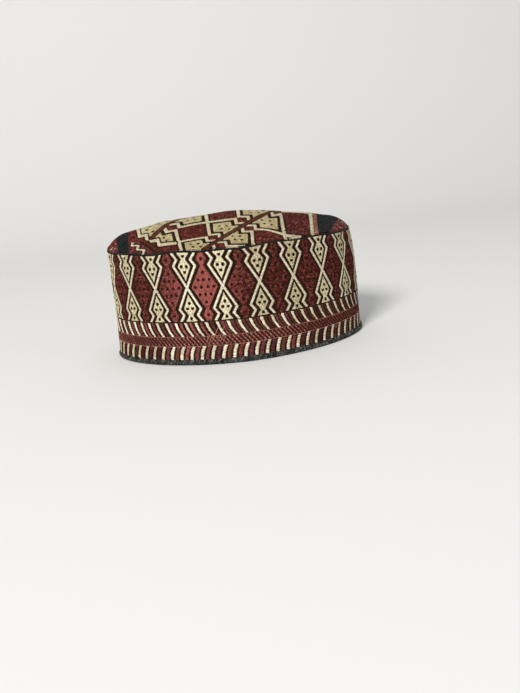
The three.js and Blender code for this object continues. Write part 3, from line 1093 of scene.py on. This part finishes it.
def rim_stitches(places, kinds):
    """Short stitches over the rim, each in the colour of the crown beside it."""
    runs = strayed_runs(RIM_COUNT)
    rim_x, rim_y = np.stack(outline(runs)) * TOP_SHARE
    nx, ny = outward(runs)
    x, y = rim_x * 0.983, rim_y * 0.983
    nearest = np.hypot(places[0][None] - x[:, None], places[1][None] - y[:, None]).argmin(axis=1)
    kind = kinds[nearest]
    first = crown_point(x, y, THREAD_LIFT)[0]
    x, y = rim_x - nx * 0.35, rim_y - ny * 0.35
    last = np.stack([x - front_lean(x), y, RIM_HEIGHT - RIM_STITCH_DOWN - rim_drop(x, y)], -1)
    normal = 0.7 * level_normal(runs, 1.0)
    for number in CROWN_KINDS:
        pick = kind == number
        if not pick.any():
            continue
        tone = crown_tone(number, pick.sum())
        name = f"rim_{NAMES[number]}_stitches"
        places = first[pick], last[pick], normal[pick]
        obj = stitches(name, *places, STITCH_WIDTH, 0.55, tone, THREADS[number])
        place_piece(obj)


# Seam cord and binding

SEAM_THREAD = 1.9  # height of the cord behind, and what it loses towards the front
SEAM_THINNING = 1.1
SEAM_THINS = (-45.0, 75.0)  # from which x it gets thinner, and over what length
SEAM_SHOWS = 0.25
SEAM_FACETS = 1440
SEAM_SIDES = 10
SEAM_PITCH = 2.4
SEAM_SWELL = 0.16

BINDING_FACETS = 1740
BINDING_SIDES = 15
BINDING_ENDS = (-248.0, 68.0)  # where the roll begins and ends, in degrees
BINDING_ROUND = 0.75  # power of its cross-section, which is 1 for a circle
WRAP_PITCH = 2.1
WRAP_SLANT = 0.9
WRAP_RELIEF = 0.24
WRAP_SINK = 0.16


def thread_ring(name, points, runs, tone, kind):
    """A closed ring of thread whose tone changes softly round the cap."""
    size = points.shape[1]
    obj = closed_ring(name, points, runs, np.linspace(0, 6, size), THREADS[kind])
    turn = 2 * np.pi * runs / GIRTH
    set_tone(obj, np.repeat(tone + 0.25 * np.sin(10 * turn) * np.sin(21 * turn + 1), size))
    return obj


def seam_cord():
    """A dark cord of two twisted threads round the top of the side band."""
    runs = np.arange(SEAM_FACETS) * GIRTH / SEAM_FACETS
    turn = 2 * np.pi * np.arange(SEAM_SIDES) / SEAM_SIDES
    twist = 2 * np.pi * np.round(GIRTH / SEAM_PITCH) / GIRTH * runs
    swell = 1 + SEAM_SWELL * np.cos(2 * (turn[None] - twist[:, None] / 2))
    front = ease_over(outline(runs)[0], SEAM_THINS)[:, None]
    lift = -BAND_CLOTH / 2 + (BAND_CLOTH / 2 + SEAM_SHOWS * (1 - front)) * np.cos(turn)[None] * swell
    up = BAND_HEIGHT + GAP + (SEAM_THREAD - SEAM_THINNING * front) / 2 * np.sin(turn)[None] * swell
    obj = thread_ring("seam_cord", band_point(runs[:, None], up, lift), runs, 0.2, NAVY)
    place_piece(obj, "crown_seam")


def binding():
    """A rolled edge, open above round the side band, and its overcast threads."""
    slot_out = GAP - BAND_PINCH
    slot_in = BAND_PINCH - BAND_CLOTH - GAP
    outer = slot_out + BINDING_LEG
    inner = slot_in - BINDING_LEG
    runs = np.arange(BINDING_FACETS) * GIRTH / BINDING_FACETS
    turn = np.radians(np.linspace(*BINDING_ENDS, BINDING_SIDES))
    wraps = np.round(GIRTH / WRAP_PITCH)
    slantwise = 2 * np.pi * wraps / GIRTH * (runs[:, None] + WRAP_SLANT * np.sin(turn)[None])
    relief = WRAP_RELIEF * np.abs(np.cos(slantwise / 2)) - WRAP_SINK
    relief = relief + unevenness(outline(runs)[0][:, None] / 2, 3 * turn[None], 0.07)
    lift = (outer + inner) / 2 + bend(np.cos(turn), BINDING_ROUND)[None] * ((outer - inner) / 2 + relief)
    height = BINDING_HEIGHT / 2 * (1 + bend(np.sin(turn), BINDING_ROUND))[None]
    height = height + relief * np.sin(turn)[None] * (np.sin(turn)[None] > 0)
    groove = np.ones((len(runs), 1))
    lift = np.hstack([lift, groove * (slot_out, slot_out, slot_in, slot_in)])
    mouth = BINDING_HEIGHT - 0.2
    height = np.hstack([height, groove * (mouth, BINDING_SOLE, BINDING_SOLE, mouth)])
    obj = thread_ring("edge_roll", band_point(runs[:, None], height, lift), runs, 0.12, EDGE)
    place_piece(obj, "edge_binding")
    overcast("edge_overcast_stitches", 0.5, 1.07, outer - 0.1, THREAD_LIFT + 0.25, 0.35)
    overcast("edge_middle_stitches", 0.24, 0.7, outer - 0.2, outer - 0.12, 0.0)
    overcast("edge_under_stitches", 0.1, 0.38, outer - 0.65, outer - 0.15, -0.3)


def overcast(name, low, high, low_lift, high_lift, rise):
    """A row of slanting threads over the binding. low and high are shares of its height."""
    count = 560
    runs = strayed_runs(count)
    first = band_point(runs, BINDING_HEIGHT * (low + 0.08 * rng.rand(count)), low_lift)
    last = band_point(runs + 1.2, BINDING_HEIGHT * (high + 0.08 * rng.rand(count)), high_lift)
    tone = 0.06 + 0.8 * rng.rand(count) ** 4 + 0.08 * rng.randn(count)
    obj = stitches(name, first, last, level_normal(runs, rise), 0.7, 0.42, tone, THREADS[EDGE])
    place_piece(obj)


# Studio: floor that curves up behind, soft light and the camera

def backdrop():
    reach, depth, radius, rise = 7000.0, 1500.0, 700.0, 3000.0
    profile = [(-reach, 0.0), (depth - radius, 0.0)]
    for step in range(1, 17):
        angle = math.pi / 2 * step / 16
        profile.append((depth - radius + radius * math.sin(angle), radius * (1 - math.cos(angle))))
    profile.append((depth, rise))
    points = [(x, y, z) for x in (-reach, reach) for y, z in profile]
    size = len(profile)
    faces = [(i, i + size, i + size + 1, i + 1) for i in range(size - 1)]
    material, shader = new_material("studio_paper")
    set_inputs(shader, {"Base Color": (0.72, 0.72, 0.71, 1), "Roughness": 0.9})
    new_object("studio_floor", points, faces, material)


LIT_PLACE = (0, 0, 0.05)


def area_light(name, place, size, power, colour=(1, 1, 1)):
    light = bpy.data.lights.new(name, "AREA")
    light.shape = "SQUARE"
    light.size = size
    light.energy = power
    light.color = colour
    obj = link_object(name, light)
    obj.location = place
    aim = Vector(LIT_PLACE) - Vector(place)
    obj.rotation_euler = aim.to_track_quat("-Z", "Y").to_euler()


def lights():
    area_light("key", (-1.3, -2.6, 2.0), 0.9, 130, (1, 0.97, 0.93))
    area_light("fill", (2.6, -2.2, 1.4), 2.0, 8, (0.93, 0.96, 1))
    area_light("top", (0.2, 0.4, 2.6), 1.6, 6)
    world = bpy.data.worlds.new("studio")
    bpy.context.scene.world = world
    world.use_nodes = True
    background = world.node_tree.nodes["Background"]
    set_inputs(background, {"Color": (0.95, 0.97, 1, 1), "Strength": 0.34})
    bpy.context.scene.view_settings.view_transform = "Standard"


def camera():
    azimuth, elevation, roll = map(math.radians, CAMERA_TURNS)
    back = Vector((
        math.sin(azimuth) * math.cos(elevation),
        -math.cos(azimuth) * math.cos(elevation),
        math.sin(elevation),
    ))
    level = Vector((math.cos(azimuth), math.sin(azimuth), 0))
    upright = back.cross(level)
    right = level * math.cos(roll) + upright * math.sin(roll)
    up = upright * math.cos(roll) - level * math.sin(roll)
    place = Vector((0, 0, CAMERA_BASE)) + back * CAMERA_DISTANCE + right * CAMERA_RIGHT + up * CAMERA_UP
    data = bpy.data.cameras.new("camera")
    data.lens = CAMERA_LENS
    data.sensor_width = 36
    obj = link_object("camera", data)
    turned = Matrix((right, up, back)).transposed().to_4x4()
    obj.matrix_world = Matrix.Translation(place * MM) @ turned
    bpy.context.scene.camera = obj


camera()
backdrop()
lights()
band_cloth()
main_band()
band_eyelets()
stripe_band("upper_stripes", upper_stripes, TWILL_TOP + 0.4, STRIPES_TOP - 0.3, 0)
stripe_band("lower_stripes", lower_stripes, BINDING_HEIGHT + 0.1, TWILL_FOOT - 0.3, 0.4)
twill_band()
mended_place()
edge_lines()
crown_cloth()
rim_stitches(*crown_stitches())
crown_eyelets()
seam_cord()
binding()
